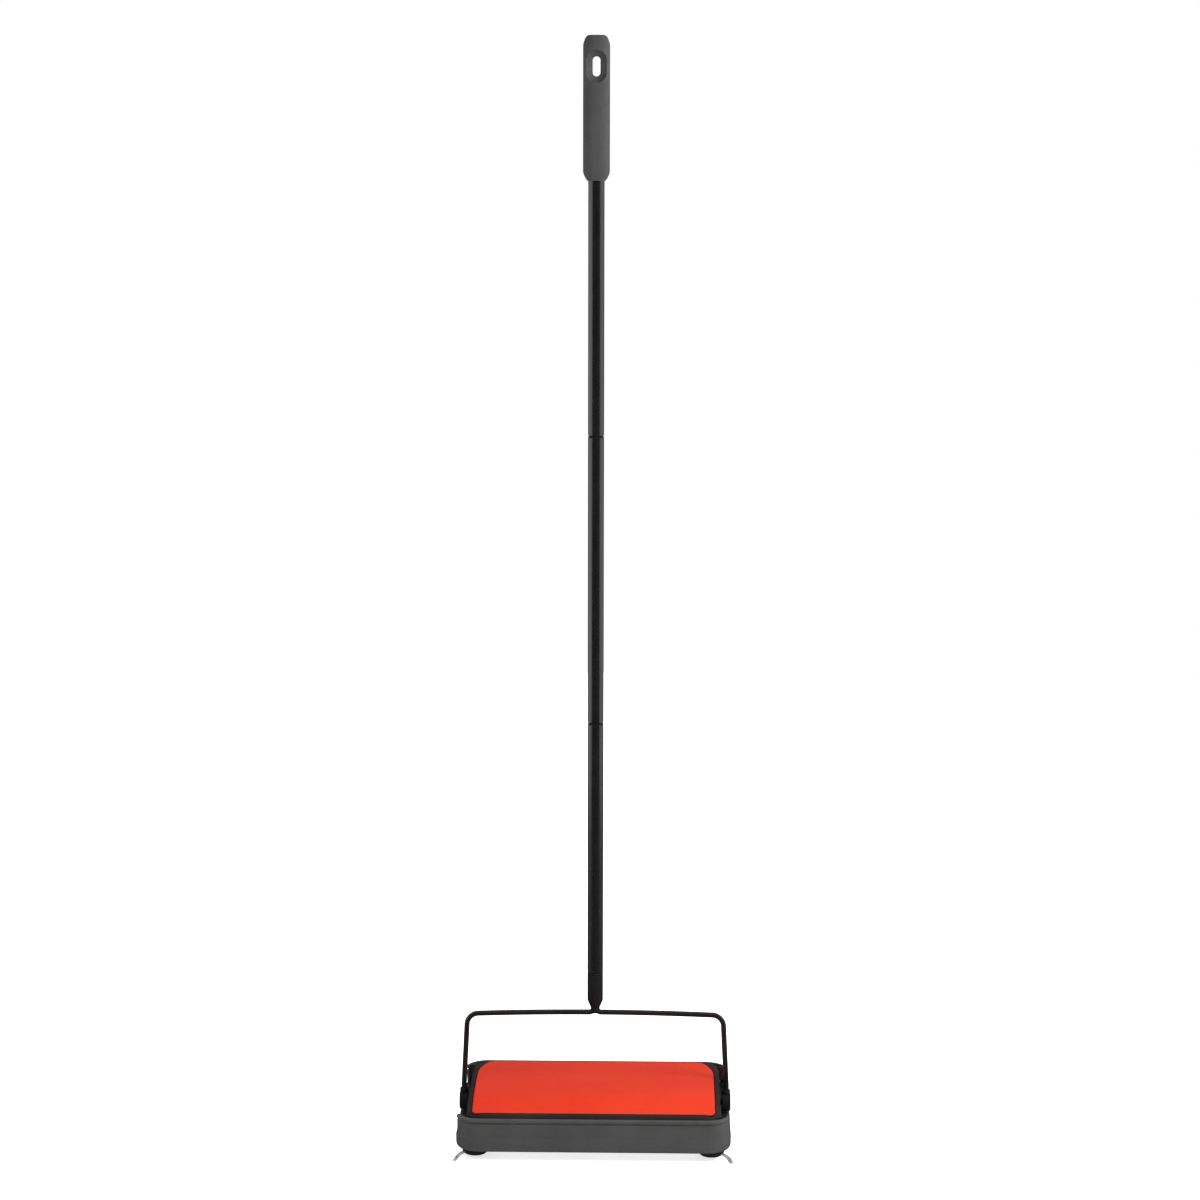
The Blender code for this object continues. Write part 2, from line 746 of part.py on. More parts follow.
def build_hub(side, sign):
    """The knuckle that holds a bail leg and turns on its own pin in the side wall, and its clip."""
    groove, half = 0.0025, HUB_HALF
    profile = [
        (0.0, half),
        (HUB_RADIUS - 0.0008, half),
        (HUB_RADIUS, half - 0.0008),
        (HUB_RADIUS, -half + 0.0008),
        (HUB_RADIUS - 0.0008, -half),
        (PIN_RADIUS, -half),
        (PIN_RADIUS, -0.0094),
        (groove, -0.0094),
        (groove, -0.0106),
        (PIN_RADIUS, -0.0106),
        (PIN_RADIUS, -0.0118),
        (0.0, -0.0118),
    ]
    if sign < 0:
        profile = [(radius, -height) for radius, height in reversed(profile)]
    centre = (sign * LEG_X, 0, PIVOT_Z)
    hub = turned(f"bail_hub_{side}", profile, centre, True, BLACK, sides=28, closed=False)
    neck = rod(f"hub_neck_{side}", 0.0043, centre, (centre[0], 0, 0.046))
    hole = rod(f"hub_hole_{side}", BAIL_WIRE + GAP, (centre[0], 0, 0.0283), (centre[0], 0, 0.050))
    combine(hub, neck, "UNION")
    combine(hub, hole, "DIFFERENCE")
    clip = turned(
        f"hub_clip_{side}",
        [(0.0044, 0.0004), (0.0044, -0.0004), (0.0028, -0.0004), (0.0028, 0.0004)],
        (sign * (LEG_X - 0.0100), 0, PIVOT_Z),
        True,
        STEEL,
        sides=SMALL_ROUND,
    )
    return [hub, clip]


def build_socket():
    """The fitting under the pole. Its nose clips over the bail, and its top plugs into the lowest tube."""
    plug, groove = TUBE_BORE - GAP, BAIL_WIRE + GAP
    profile = [
        (0.0, 0.2050),
        (plug - 0.001, 0.2050),
        (plug, 0.2040),
        (plug, TUBE_LOW - GAP),
        (TUBE_RADIUS, TUBE_LOW - GAP),
        (TUBE_RADIUS, 0.1410),
        (NOSE_RADIUS, NOSE_TOP),
        (NOSE_RADIUS, SOCKET_LOW + 0.0006),
        (NOSE_RADIUS - 0.0006, SOCKET_LOW),
        (0.0, SOCKET_LOW),
    ]
    socket = turned("pole_socket", profile, (0, 0, 0), False, BLACK, closed=False, sides=28)
    near = [point for point in bail_route() if abs(point.x) < 0.030]
    rings = []
    for k, point in enumerate(near):
        along = (near[min(k + 1, len(near) - 1)] - near[max(k - 1, 0)]).normalized()
        upright = along.cross(Vector((0, 1, 0)))
        ring = []
        for i in range(SMALL_ROUND):
            angle = math.tau * i / SMALL_ROUND
            ring.append(point + (upright * math.cos(angle) + Vector((0, math.sin(angle), 0))) * groove)
        rings.append(ring)
    return combine(socket, loft("cut_bail_groove", rings), "DIFFERENCE")


# ---------------------------------------------------------------- pole and grip
def build_tubes():
    pieces = []
    low = TUBE_LOW
    for name, high in zip(("lower", "middle", "upper"), (*TUBE_JOINTS, TUBE_TOP)):
        ring = [(TUBE_RADIUS, high), (TUBE_RADIUS, low), (TUBE_BORE, low), (TUBE_BORE, high)]
        pieces.append(turned(f"{name}_tube", ring, (0, 0, 0), False, BLACK_ENAMEL, sides=28))
        if high != TUBE_TOP:
            pieces.append(build_coupling(name, high))
        low = high + JOINT_GAP
    return pieces


def build_coupling(name, low):
    """A plug that joins two tubes. Only its collar shows, in the gap between them."""
    plug, collar, reach = TUBE_BORE - GAP, 0.0075, 0.024
    high = low + JOINT_GAP
    profile = [
        (0.0, high + reach),
        (plug - 0.001, high + reach),
        (plug, high + reach - 0.001),
        (plug, high - GAP),
        (collar, high - GAP),
        (collar, low + GAP),
        (plug, low + GAP),
        (plug, low - reach + 0.001),
        (plug - 0.001, low - reach),
        (0.0, low - reach),
    ]
    return turned(f"{name}_coupling", profile, (0, 0, 0), False, BLACK, sides=28, closed=False)


def oval(half_x, half_y, z, count=28, power=2.5):
    """A ring of points on a rounded oval."""
    ring = []
    for k in range(count):
        angle = math.tau * (k + 0.5) / count
        c, s = math.cos(angle), math.sin(angle)
        x = half_x * math.copysign(abs(c) ** (2 / power), c)
        y = half_y * math.copysign(abs(s) ** (2 / power), s)
        ring.append(Vector((x, y, z)))
    return ring


def stadium(width, height, y, count=8):
    """A ring in an upright plane: two half circles joined by straight sides, about the slot's centre."""
    straight = (height - width) / 2
    upper = arc((0, SLOT_Z + straight), width / 2, 0, 180, count)
    lower = arc((0, SLOT_Z - straight), width / 2, 180, 360, count)
    return [Vector((x, y, z)) for x, z in upper + lower]


def build_grip():
    """The moulded grip, with a bore for the top tube and a dished hanging slot."""
    # height, then how far the section is drawn in on each side
    levels = (
        (GRIP_LOW, 0.0044),
        (GRIP_LOW + 0.0012, 0.0035),
        (GRIP_LOW + 0.0045, 0.0014),
        (GRIP_LOW + 0.0085, 0.0),
        (GRIP_TOP - 0.0095, 0.0),
        (GRIP_TOP - 0.0060, 0.0009),
        (GRIP_TOP - 0.0025, 0.0025),
        (GRIP_TOP - 0.0006, 0.0042),
        (GRIP_TOP, 0.0056),
    )
    grip = loft("grip", [oval(GRIP_X - inset, GRIP_Y - inset * 0.6, z) for z, inset in levels], BLACK)
    bore = rod(
        "grip_bore",
        TUBE_RADIUS + GAP,
        (0, 0, GRIP_LOW - 0.005),
        (0, 0, TUBE_TOP + 0.001),
        sides=28,
    )
    flare = 0.0125
    rings = []
    for y, grown in ((-0.0122, flare), (-0.0052, 0.0), (0.0052, 0.0), (0.0122, flare)):
        rings.append(stadium(SLOT_WIDTH + grown, SLOT_HEIGHT + grown, y))
    combine(grip, bore, "DIFFERENCE")
    combine(grip, loft("grip_slot", rings), "DIFFERENCE")
    return grip


# ---------------------------------------------------------------- assembly
def build():
    build_base()
    build_cover()
    build_panel()
    build_brush()
    build_spindle_bushes()
    for side, sign in SIDES:
        for end, way in ENDS:
            build_wheel(side, sign, end, way)
            build_whisk(side, sign, end, way)
            build_screw(side, sign, end, way)
    for end, way in ENDS:
        build_pan(end, way)
        build_pan_spring(end, way, way)
    handle = [wire("bail", bail_route(), BAIL_WIRE, GREY_ENAMEL)]
    for side, sign in SIDES:
        handle += build_hub(side, sign)
    handle.append(build_socket())
    handle += build_tubes()
    handle.append(build_grip())
    pivot("handle_pivot", (0, 0, PIVOT_Z), handle)


build()
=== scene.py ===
"""The looks of the carpet sweeper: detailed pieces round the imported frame, materials, lights and camera.

Metres, in the frame's own axes: +Z up, the head's front faces -Y, the origin on the floor.
"""

import json
import math
import random

import bmesh
import bpy
from mathutils import Matrix, Quaternion, Vector

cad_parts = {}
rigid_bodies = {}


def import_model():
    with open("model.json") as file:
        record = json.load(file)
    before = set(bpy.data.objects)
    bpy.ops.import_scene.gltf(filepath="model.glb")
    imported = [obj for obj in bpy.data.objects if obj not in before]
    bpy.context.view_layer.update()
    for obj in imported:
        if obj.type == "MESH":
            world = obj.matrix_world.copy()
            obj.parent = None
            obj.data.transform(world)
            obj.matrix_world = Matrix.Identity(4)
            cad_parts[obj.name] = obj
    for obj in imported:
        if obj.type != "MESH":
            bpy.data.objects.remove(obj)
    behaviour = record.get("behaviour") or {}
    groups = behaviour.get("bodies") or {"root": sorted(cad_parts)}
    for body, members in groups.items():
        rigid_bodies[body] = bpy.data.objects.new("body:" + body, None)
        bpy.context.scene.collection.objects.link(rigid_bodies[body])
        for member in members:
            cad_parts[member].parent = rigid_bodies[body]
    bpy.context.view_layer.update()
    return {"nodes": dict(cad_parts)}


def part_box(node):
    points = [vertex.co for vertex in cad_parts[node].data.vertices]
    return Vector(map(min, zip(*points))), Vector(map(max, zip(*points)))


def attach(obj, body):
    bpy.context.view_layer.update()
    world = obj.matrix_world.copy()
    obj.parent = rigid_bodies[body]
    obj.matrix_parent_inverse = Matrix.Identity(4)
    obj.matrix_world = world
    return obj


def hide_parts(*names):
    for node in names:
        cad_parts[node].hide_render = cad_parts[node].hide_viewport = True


for leftover in list(bpy.data.objects):
    bpy.data.objects.remove(leftover)
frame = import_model()
NODES = frame["nodes"]
SIDES = {"left": -1, "right": 1}
ENDS = {"front": -1, "rear": 1}
MM = 0.001
UPRIGHT = Matrix.Identity(4)
WHITE = (1.0, 1.0, 1.0, 1.0)


# ---------------------------------------------------------------- node-tree helpers
def map_range(tree, value, low, high, to_low, to_high):
    """Turns low..high into to_low..to_high, and holds what lies beyond it."""
    node = tree.nodes.new("ShaderNodeMapRange")
    tree.links.new(value, node.inputs["Value"])
    numbers = {"From Min": low, "From Max": high, "To Min": to_low, "To Max": to_high}
    for name, number in numbers.items():
        node.inputs[name].default_value = number
    return node.outputs["Result"]


class Tree:
    """A material's node tree, with a short call for each node that the materials here use."""

    def __init__(self, name):
        self.material = bpy.data.materials.new(name)
        self.material.use_nodes = True
        self.tree = self.material.node_tree
        self.shader = self.tree.nodes["Principled BSDF"]
        self.coords = self.tree.nodes.new("ShaderNodeTexCoord").outputs["Object"]

    def put(self, socket, value):
        if isinstance(value, bpy.types.NodeSocket):
            self.tree.links.new(value, socket)
        else:
            socket.default_value = value

    def set(self, **values):
        for name, value in values.items():
            self.put(self.shader.inputs[name.replace("_", " ")], value)

    def stretched(self, scale):
        node = self.tree.nodes.new("ShaderNodeMapping")
        self.put(node.inputs["Vector"], self.coords)
        node.inputs["Scale"].default_value = scale
        return node.outputs["Vector"]

    def noise(self, scale, detail=3.0, rough=0.5, vector=None):
        node = self.tree.nodes.new("ShaderNodeTexNoise")
        self.put(node.inputs["Vector"], vector or self.coords)
        node.inputs["Scale"].default_value = scale
        node.inputs["Detail"].default_value = detail
        node.inputs["Roughness"].default_value = rough
        return node.outputs["Fac"]

    def cells(self, scale):
        node = self.tree.nodes.new("ShaderNodeTexVoronoi")
        self.put(node.inputs["Vector"], self.coords)
        node.inputs["Scale"].default_value = scale
        return node.outputs["Distance"]

    def spread(self, value, low, high, to_low, to_high):
        return map_range(self.tree, value, low, high, to_low, to_high)

    def blend(self, share, first, second):
        node = self.tree.nodes.new("ShaderNodeMix")
        node.data_type = "RGBA"
        self.put(node.inputs["Factor"], share)
        self.put(node.inputs["A"], (*first, 1.0) if isinstance(first, tuple) else first)
        self.put(node.inputs["B"], (*second, 1.0) if isinstance(second, tuple) else second)
        return node.outputs["Result"]

    def maths(self, operation, first, second):
        node = self.tree.nodes.new("ShaderNodeMath")
        node.operation = operation
        self.put(node.inputs[0], first)
        self.put(node.inputs[1], second)
        return node.outputs["Value"]

    def worn_and_highlit_edge(self):
        """1 on convex edges and 0 elsewhere: edges that are worn and that also catch the light, a painted
        highlight.
        """
        node = self.tree.nodes.new("ShaderNodeNewGeometry")
        return self.spread(node.outputs["Pointiness"], 0.53, 0.62, 0.0, 1.0)

    def bump(self, height, strength, distance, under=None):
        node = self.tree.nodes.new("ShaderNodeBump")
        node.inputs["Strength"].default_value = strength
        node.inputs["Distance"].default_value = distance
        self.put(node.inputs["Height"], height)
        if under is not None:
            self.put(node.inputs["Normal"], under)
        return node.outputs["Normal"]


def moulded(name, dark, light, roughness, grain, specular=0.45, grain_scale=2600):
    """Moulded plastic: a spark-eroded grain, faint flow marks in the colour, rubbed patches, and paler convex
    edges that are part wear, part painted highlight.
    """
    tree = Tree(name)
    flow = tree.spread(tree.noise(22, 5, 0.6), 0.35, 0.65, 0.0, 1.0)
    speckle = tree.spread(tree.noise(900, 2, 0.5), 0.35, 0.70, 0.0, 0.35)
    colour = tree.blend(tree.maths("MAXIMUM", flow, speckle), dark, light)
    # Paler convex edges: partly wear, partly a painted highlight where the edges catch the light.
    worn_highlit_colour = tuple(min(1.0, channel * 1.6 + 0.01) for channel in light)
    tree.set(Base_Color=tree.blend(tree.maths("MULTIPLY", tree.worn_and_highlit_edge(), 0.35), colour, worn_highlit_colour))
    rubbed = tree.noise(35, 4, 0.65)
    tree.set(Roughness=tree.spread(rubbed, 0.3, 0.7, roughness - 0.06, roughness + 0.07))
    fine = tree.bump(tree.noise(grain_scale, 2, 0.55), grain, 0.10 * MM)
    tree.set(Normal=tree.bump(tree.cells(grain_scale * 0.55), grain * 0.6, 0.06 * MM, fine))
    tree.set(Specular_IOR_Level=specular)
    return tree.material


def red_gloss():
    """The panel: gloss red, with a slight orange peel, fine rubbing marks and a soft flow pattern."""
    tree = Tree("red_gloss")
    flow = tree.spread(tree.noise(9, 4, 0.55), 0.3, 0.7, 0.0, 1.0)
    colour = tree.blend(flow, (0.500, 0.023, 0.0068), (0.560, 0.032, 0.0096))
    tree.set(Base_Color=colour)
    rubs = tree.noise(110, 5, 0.6, tree.stretched((1.0, 5.0, 1.0)))
    haze = tree.noise(14, 3, 0.5)
    both = tree.maths("MULTIPLY", tree.maths("ADD", rubs, haze), 0.5)
    tree.set(Roughness=tree.spread(both, 0.35, 0.65, 0.27, 0.35))
    peel = tree.bump(tree.noise(330, 2, 0.4), 0.08, 0.10 * MM)
    tree.set(Normal=tree.bump(tree.noise(2400, 2, 0.5), 0.04, 0.03 * MM, peel))
    tree.set(Specular_IOR_Level=0.12)
    return tree.material


def enamel(name, dark, light, roughness, peel, coat, specular):
    """Baked paint on a steel tube or wire, with a fine peel and pale lengthwise scuffs."""
    tree = Tree(name)
    drift = tree.spread(tree.noise(40, 4, 0.6), 0.35, 0.65, 0.0, 1.0)
    colour = tree.blend(drift, dark, light)
    scuffs = tree.noise(160, 5, 0.7, tree.stretched((1.0, 1.0, 0.15)))
    scuff = tree.spread(scuffs, 0.68, 0.80, 0.0, 0.25)
    paler = tuple(channel * 2.5 + 0.02 for channel in light)
    tree.set(Base_Color=tree.blend(scuff, colour, paler))
    tree.set(Roughness=tree.spread(scuffs, 0.3, 0.8, roughness - 0.04, roughness + 0.10))
    tree.set(Normal=tree.bump(tree.noise(700, 3, 0.5), peel, 0.06 * MM))
    tree.set(Coat_Weight=coat, Coat_Roughness=0.06, Specular_IOR_Level=specular)
    return tree.material


def bright_steel():
    tree = Tree("bright_steel")
    lines = tree.noise(900, 4, 0.6, tree.stretched((0.05, 1.0, 1.0)))
    tree.set(Base_Color=tree.blend(lines, (0.50, 0.50, 0.51), (0.66, 0.66, 0.66)))
    tree.set(Roughness=tree.spread(lines, 0.3, 0.7, 0.22, 0.40), Metallic=1.0)
    tree.set(Normal=tree.bump(lines, 0.15, 0.02 * MM))
    return tree.material


def tyre_rubber():
    tree = Tree("tyre_rubber")
    dust = tree.spread(tree.noise(180, 5, 0.7), 0.45, 0.75, 0.0, 0.7)
    tree.set(Base_Color=tree.blend(dust, (0.016, 0.016, 0.017), (0.060, 0.058, 0.055)))
    tree.set(Roughness=tree.spread(tree.noise(500, 3, 0.6), 0.3, 0.7, 0.68, 0.90))
    tree.set(Normal=tree.bump(tree.noise(1500, 3, 0.6), 0.35, 0.10 * MM), Specular_IOR_Level=0.3)
    return tree.material


def bristle_nylon(name, root, tip, roughness):
    """Nylon bristle: streaks along the strands, by a noise that is fine across every axis."""
    tree = Tree(name)
    streak = tree.noise(1600, 3, 0.6)
    tree.set(Base_Color=tree.blend(tree.spread(streak, 0.35, 0.65, 0.0, 1.0), root, tip))
    tree.set(Roughness=tree.spread(streak, 0.3, 0.7, roughness - 0.08, roughness + 0.08))
    tree.set(Normal=tree.bump(streak, 0.2, 0.02 * MM), Specular_IOR_Level=0.4)
    return tree.material


def pale_floor():
    tree = Tree("pale_floor")
    drift = tree.spread(tree.noise(1.7, 3, 0.5), 0.3, 0.7, 0.0, 1.0)
    tree.set(Base_Color=tree.blend(drift, (0.840, 0.840, 0.842), (0.860, 0.860, 0.860)))
    tree.set(Roughness=0.9, Specular_IOR_Level=0.1)
    tree.set(Emission_Color=WHITE, Emission_Strength=0.72)
    return tree.material


def grey(level):
    return (level, level, level)


RED = red_gloss()
BUMPER = moulded("bumper_plastic", (0.0385, 0.0395, 0.0380), (0.0490, 0.0500, 0.0485), 0.50, 0.35)
# Near-black chassis plastic: its darkness is painted shade for the side recesses.
CHASSIS_PAINTED_SHADE = moulded("chassis_plastic_painted_shade", grey(0.006), grey(0.011), 0.60, 0.35, 0.15)
# The frame is black plastic; its dark red tint is a painted reflection of the red panel.
FRAME_BLACK_RED_REFLECTION = moulded("frame_plastic_red_reflection", (0.017, 0.010, 0.010), (0.023, 0.015, 0.015), 0.50, 0.25, 0.12)
HUB_BLACK = moulded("hub_plastic", (0.005, 0.005, 0.006), (0.010, 0.010, 0.011), 0.45, 0.25, 0.10)
GRIP_GREY = moulded("grip_plastic", grey(0.050), grey(0.063), 0.60, 0.45, 0.12, grain_scale=2000)
INNER_GREY = moulded("inner_plastic", (0.130, 0.130, 0.134), (0.165, 0.165, 0.170), 0.48, 0.20)
POLE_BLACK = enamel(
    "pole_enamel", (0.0035, 0.0035, 0.0037), (0.0055, 0.0055, 0.0059), 0.22, 0.08, coat=0.30, specular=1.0
)
WIRE_GREY = enamel("wire_enamel", grey(0.004), grey(0.008), 0.32, 0.25, coat=0.0, specular=0.60)
STEEL = bright_steel()
RUBBER = tyre_rubber()
DARK_BRISTLE = bristle_nylon("dark_nylon", (0.012, 0.012, 0.013), (0.045, 0.045, 0.046), 0.45)
PALE_BRISTLE = bristle_nylon("pale_nylon", (0.27, 0.27, 0.265), (0.46, 0.46, 0.45), 0.45)


# ---------------------------------------------------------------- mesh helpers
def even_shading(piece):
    """Large faces keep their own normals, so that a rounded edge doesn't shade the flat beside it."""
    even = piece.modifiers.new("even", "WEIGHTED_NORMAL")
    even.keep_sharp = True
    even.weight = 80


def smooth_up_to(mesh, degrees):
    mesh.shade_smooth()
    mesh.set_sharp_from_angle(angle=math.radians(degrees))


def new_object(name, data):
    made = bpy.data.objects.new(name, data)
    bpy.context.scene.collection.objects.link(made)
    return made


def put_in_scene(name, data, material, body, slot, *replaced, smooth_deg=35.0, even=True):
    """A new piece, smooth up to that angle, that rides on a body and stands in for the replaced nodes."""
    piece = new_object(name, data)
    data.materials.append(material)
    if isinstance(data, bpy.types.Mesh):
        smooth_up_to(data, smooth_deg)
        if even:
            even_shading(piece)
    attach(piece, body)
    if replaced:
        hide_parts(*replaced)
    return piece


def mesh_of(name, bm):
    bmesh.ops.recalc_face_normals(bm, faces=bm.faces)
    mesh = bpy.data.meshes.new(name)
    bm.to_mesh(mesh)
    bm.free()
    return mesh


def join_rings(bm, rings, close_rings=True, cap=False, loop=False):
    """Faces between rings of points. loop joins the last ring to the first, and cap fills both ends."""
    loops = [[bm.verts.new(point) for point in ring] for ring in rings]
    pairs = list(zip(loops, loops[1:]))
    if loop:
        pairs.append((loops[-1], loops[0]))
    for lower, upper in pairs:
        count = len(lower)
        for i in range(count if close_rings else count - 1):
            after = (i + 1) % count
            bm.faces.new((lower[i], lower[after], upper[after], upper[i]))
    if cap:
        bm.faces.new(loops[0])
        bm.faces.new(loops[-1])
    return loops


def arc(centre_x, centre_y, radius, start_deg, end_deg, count):
    return [
        (centre_x + radius * math.cos(a), centre_y + radius * math.sin(a))
        for k in range(count + 1)
        for a in [math.radians(start_deg + (end_deg - start_deg) * k / count)]
    ]


def lathe(bm, profile, place, sides, closed=True):
    """Turns (radius, height) points about the axis of a 4x4 placing matrix."""
    rings = []
    for k in range(sides):
        angle = math.tau * k / sides
        across = Vector((math.cos(angle), math.sin(angle), 0))
        rings.append([place @ (across * radius + Vector((0, 0, height))) for radius, height in profile])
    join_rings(bm, rings, close_rings=closed, loop=True)
    bmesh.ops.remove_doubles(bm, verts=bm.verts, dist=1e-6)


def along_x(x, y, z):
    return Matrix.Translation((x, y, z)) @ Matrix.Rotation(math.pi / 2, 4, "Y")


def outline(half_x, front, rear, front_corner, rear_corner, steps=14, side_steps=44):
    """Points round a plate whose left half mirrors its right half. A corner is its two half axes."""
    (front_x, front_y), (rear_x, rear_y) = front_corner, rear_corner
    right = []
    for k in range(steps + 1):
        turn = math.radians(90 * k / steps)
        right.append((half_x - front_x + front_x * math.sin(turn), -front + front_y * (1 - math.cos(turn))))
    start, end = front_y - front, rear - rear_y
    for k in range(1, side_steps):
        right.append((half_x, start + (end - start) * k / side_steps))
    for k in range(steps + 1):
        turn = math.radians(90 * k / steps)
        right.append((half_x - rear_x * (1 - math.cos(turn)), rear - rear_y * (1 - math.sin(turn))))
    return right + [(-x, y) for x, y in reversed(right)]


def round_plan(half_x, half_y, radius):
    """An outline whose four corners are alike."""
    return outline(half_x, half_y, half_y, (radius, radius), (radius, radius))


def at_height(plan, height):
    """A ring over the plan, at one height or at a function of x and y."""
    level = height if callable(height) else lambda x, y: height
    return [Vector((x, y, level(x, y))) for x, y in plan]


def fill_across(bm, ring):
    """Fills a ring made by outline with strips from its right half to its left half."""
    half = len(ring) // 2
    for k in range(half - 1):
        bm.faces.new((ring[k], ring[k + 1], ring[-2 - k], ring[-1 - k]))


def rounded_box_into(bm, corner, opposite, edge=0.4 * MM):
    """A box with small rounded edges between two opposite corners, in either order."""
    made = bmesh.ops.create_cube(bm, size=1.0)["verts"]
    low = Vector([min(pair) for pair in zip(corner, opposite)])
    size = Vector([max(pair) for pair in zip(corner, opposite)]) - low
    bmesh.ops.scale(bm, vec=size, verts=made)
    bmesh.ops.translate(bm, vec=low + size / 2, verts=made)
    edges = list({e for v in made for e in v.link_edges})
    bmesh.ops.bevel(bm, geom=edges, offset=edge, segments=2, affect="EDGES", profile=0.5)


def cut_away(piece, tools, smooth_deg):
    """Cuts the tools from the piece for good, and removes them."""
    piece.modifiers.clear()
    for tool in tools:
        modifier = piece.modifiers.new("cut", "BOOLEAN")
        modifier.operation = "DIFFERENCE"
        modifier.solver = "EXACT"
        modifier.object = tool
    graph = bpy.context.evaluated_depsgraph_get()
    bpy.context.view_layer.update()
    cut = bpy.data.meshes.new_from_object(piece.evaluated_get(graph))
    piece.modifiers.clear()
    piece.data = cut
    for tool in tools:
        bpy.data.objects.remove(tool)
    smooth_up_to(cut, smooth_deg)
    even_shading(piece)


def soften(node, material, width=0.35 * MM, smooth_deg=40.0):
    """A CAD node that stays: its own material, smooth shading and small rounded edges."""
    piece = NODES[node]
    piece.data.materials.clear()
    piece.data.materials.append(material)
    piece.data.shade_smooth()
    weld = piece.modifiers.new("weld", "WELD")
    weld.merge_threshold = 1e-5
    flatten = piece.modifiers.new("flatten", "DECIMATE")
    flatten.decimate_type = "DISSOLVE"
    flatten.angle_limit = math.radians(1.0)
    edge = piece.modifiers.new("edge", "BEVEL")
    edge.width = width
    edge.segments = 2
    edge.limit_method = "ANGLE"
    edge.angle_limit = math.radians(smooth_deg)
    edge.harden_normals = True


# ---------------------------------------------------------------- the head's shells
BASE_LOW, BASE_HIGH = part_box("base_housing")
COVER_LOW, COVER_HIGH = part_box("cover_frame")
PANEL_LOW, PANEL_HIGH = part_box("top_panel")
BASE_CORNER, COVER_CORNER, PANEL_CORNER = 24 * MM, 18 * MM, 7 * MM
PANEL_REAR_CORNER = (20 * MM, 42 * MM)
FLAT_Y, SLOPE = 52 * MM, 0.29
SHELF = COVER_LOW.z - 0.3 * MM
WALL = 2.5 * MM
RECESS_X, RECESS_Y, RECESS_FLOOR = 129 * MM, 78 * MM, 22 * MM
LEG_X, PIVOT_Z = 134.7 * MM, 33 * MM


def roof(x, y):
    """The roof: level in the middle, a soft crease to each slope, and corners that fall away a little."""
    crease, corner_drop = 2.6 * MM, 3.6 * MM
    past = abs(y) - FLAT_Y
    eased = crease * math.log1p(math.exp(min(past / crease * 2.2, 40.0))) / 2.2
    out = min(max((abs(x) - 102 * MM) / (26 * MM), 0.0), 1.0)
    near_corner = min(max((abs(y) - 12 * MM) / (56 * MM), 0.0), 1.0)
    weight = near_corner * near_corner * (3 - 2 * near_corner)
    return COVER_HIGH.z - SLOPE * eased - corner_drop * out * out * (0.15 + 0.85 * weight)


def above_roof(rise, lowest=0.0):
    """A height function for at_height: the roof plus a rise, but never under the lowest level."""
    return lambda x, y: max(lowest, roof(x, y) + rise)


def build_bumper():
    """The base's outer shell: bottom lip, waist line, groove and rim, with a recess cut in each side."""
    low, high = BASE_LOW.z, BASE_HIGH.z
    skirt = [(6.5, 0), (4.2, 0), (2.6, 0.4), (1.3, 1.4), (0.5, 2.8), (0.1, 4.6), (0, 6.5), (0, 14.2)]
    skirt += [(0.30, 14.8), (0.55, 15.6)]
    rim = [(0.60, -6.6), (0.75, -5.6), (1.30, -5.1), (1.45, -4.6), (1.45, -4.2), (0.50, -3.8), (0.10, -3.4)]
    rim += [(0, -2.9), (0.1, -1.9), (0.5, -0.9), (1.2, -0.2), (2.0, 0), (2.9, -0.1), (3.3, -0.6)]
    shelf = [(3.5, 0.3), (3.8, 0), (14.0, 0), (14.5, -0.4), (14.5, -2.5), (3.2, -2.5)]
    inside = [(3.0, 9.0), (3.2, 3.0), (6.5, 2.5)]
    rings = []
    for level, steps in ((low, skirt), (high, rim), (SHELF, shelf), (low, inside)):
        for inset, rise in steps:
            inset *= MM
            plan = round_plan(BASE_HIGH.x - inset, BASE_HIGH.y - inset, BASE_CORNER - inset)
            rings.append(at_height(plan, level + rise * MM))
    bm = bmesh.new()
    join_rings(bm, rings, loop=True)
    mesh = mesh_of("bumper_shell", bm)
    shell = put_in_scene("bumper_shell", mesh, BUMPER, "head", "charcoal_plastic", "base_housing")
    cuts, clear = [], 20 * MM
    for side, sign in SIDES.items():
        bm = bmesh.new()
        beyond = (sign * (BASE_HIGH.x + clear), RECESS_Y, high + clear)
        rounded_box_into(bm, (sign * RECESS_X, -RECESS_Y, RECESS_FLOOR), beyond, 1.5 * MM)
        cuts.append(new_object(f"cut_{side}", mesh_of(f"cut_{side}", bm)))
    cut_away(shell, cuts, 35)


